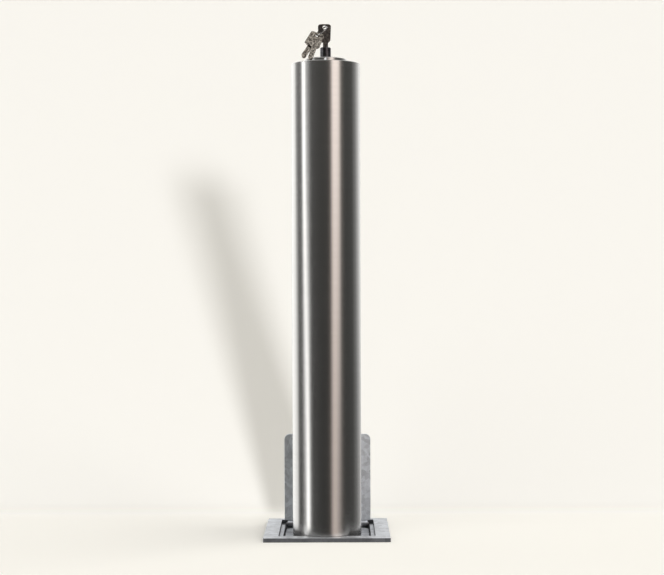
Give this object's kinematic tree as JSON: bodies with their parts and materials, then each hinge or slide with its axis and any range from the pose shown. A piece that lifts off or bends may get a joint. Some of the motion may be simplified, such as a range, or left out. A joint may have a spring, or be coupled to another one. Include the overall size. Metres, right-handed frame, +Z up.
{
  "type": "lift-out security post",
  "caption": "Stainless round post with a push lock in its top, standing in a galvanised ground socket whose hinged lid is folded up behind it.",
  "frame": {"origin": "on the post's axis, level with the underside of the frame plate, which is the ground", "axes": "+Z up along the post; the lid stands on the +Y side; the bolt slides out towards +X"},
  "size_m": [0.2234, 0.18, 0.9574],
  "materials": {
    "stainless_tube": "satin brushed stainless steel",
    "stainless_top": "satin brushed stainless steel",
    "polished_pin": "polished stainless steel",
    "galvanised_frame": "hot-dip galvanised",
    "galvanised_casing": "hot-dip galvanised, weathered",
    "galvanised_lid": "hot-dip galvanised, matt",
    "bare_steel": "turned bare steel",
    "bolt_steel": "hard chromed",
    "spring_steel": "oiled spring steel",
    "lock_metal": "dark nickel plated",
    "lock_brass": "turned brass",
    "key_dark": "dark nickel plated brass",
    "key_nickel": "worn nickel plated brass",
    "ring_steel": "nickel plated spring steel"
  },
  "bodies": {
    "ground_socket": {"frame_plate": "galvanised_frame", "socket_casing": "galvanised_casing", "lower_guide_plate": "galvanised_casing", "base_plate": "galvanised_casing", "upper_guide_plate": "galvanised_frame", "guide_cross_bar": "galvanised_frame", "lid_rail_left": "galvanised_frame", "lid_rail_right": "galvanised_frame", "ground_anchor_1": "galvanised_casing", "ground_anchor_2": "galvanised_casing", "ground_anchor_3": "galvanised_casing", "ground_anchor_4": "galvanised_casing", "frame_knuckle_1": "galvanised_frame", "frame_knuckle_2": "galvanised_frame", "hinge_pin": "bare_steel"},
    "lid": {"lid_plate": "galvanised_lid", "lid_knuckle": "galvanised_frame"},
    "post": {"post_tube": "stainless_tube", "top_cap": "stainless_top", "lock_boss": "stainless_top", "lock_sleeve": "lock_brass", "boss_dowel": "polished_pin", "sleeve_nut": "bare_steel", "spring_seat": "bare_steel", "rod_guide": "bare_steel", "bolt_housing": "bare_steel", "foot_plate": "bare_steel", "return_spring": "spring_steel"},
    "plunger": {"lock_barrel": "lock_metal", "push_rod": "bare_steel", "rod_collar": "bare_steel", "cam_plate": "bare_steel"},
    "bolt": {"cross_bolt": "bolt_steel"},
    "plug": {"lock_plug": "lock_metal"},
    "key": {"lock_key": "key_dark"},
    "ring": {"key_ring": "ring_steel"},
    "left_spare_key": {"spare_key_left": "key_nickel"},
    "right_spare_key": {"spare_key_right": "key_nickel"}
  },
  "joints": [
    {"name": "lid_swing", "type": "hinge", "parent": "ground_socket", "child": "lid", "pos_m": [0, 0.0975, 0.0005], "axis": [1, 0, 0], "range_deg": [0, 19]},
    {"name": "post_lift", "type": "slide", "parent": "ground_socket", "child": "post", "axis": [0, 0, 1], "range_m": [0, 0.25]},
    {"name": "lock_push", "type": "slide", "parent": "post", "child": "plunger", "axis": [0, 0, 1], "range_m": [-0.01, 0], "stiffness_N_per_m": 1000, "springref_m": 0.02, "deforming": ["return_spring"]},
    {"name": "bolt_throw", "type": "slide", "parent": "post", "child": "bolt", "axis": [1, 0, 0], "range_m": [0, 0.009]},
    {"name": "key_turn", "type": "hinge", "parent": "plunger", "child": "plug", "pos_m": [0, 0, 0.71], "axis": [0, 0, 1], "range_deg": [0, 90]},
    {"name": "key_pull", "type": "slide", "parent": "plug", "child": "key", "axis": [0, 0, 1], "range_m": [0, 0.025]},
    {"name": "ring_swing", "type": "hinge", "parent": "key", "child": "ring", "pos_m": [-0.0013, 0, 0.7527], "axis": [-0.7914, 0, -0.6113], "range_deg": [0, 28]},
    {"name": "left_spare_key_swing", "type": "hinge", "parent": "ring", "child": "left_spare_key", "pos_m": [-0.01346, -0.00912, 0.73911], "axis": [0.2071, -0.8676, 0.4521], "range_deg": [-12, 12]},
    {"name": "right_spare_key_swing", "type": "hinge", "parent": "ring", "child": "right_spare_key", "pos_m": [-0.01173, -0.01204, 0.73911], "axis": [0.2071, -0.8676, 0.4521], "range_deg": [-12, 0]}
  ],
  "couplings": [
    {"joint": "bolt_throw", "follows": "lock_push", "ratio": -0.9},
    {"joint": "ring_swing", "follows": "lock_push", "rad_per_m": -48.869}
  ]
}
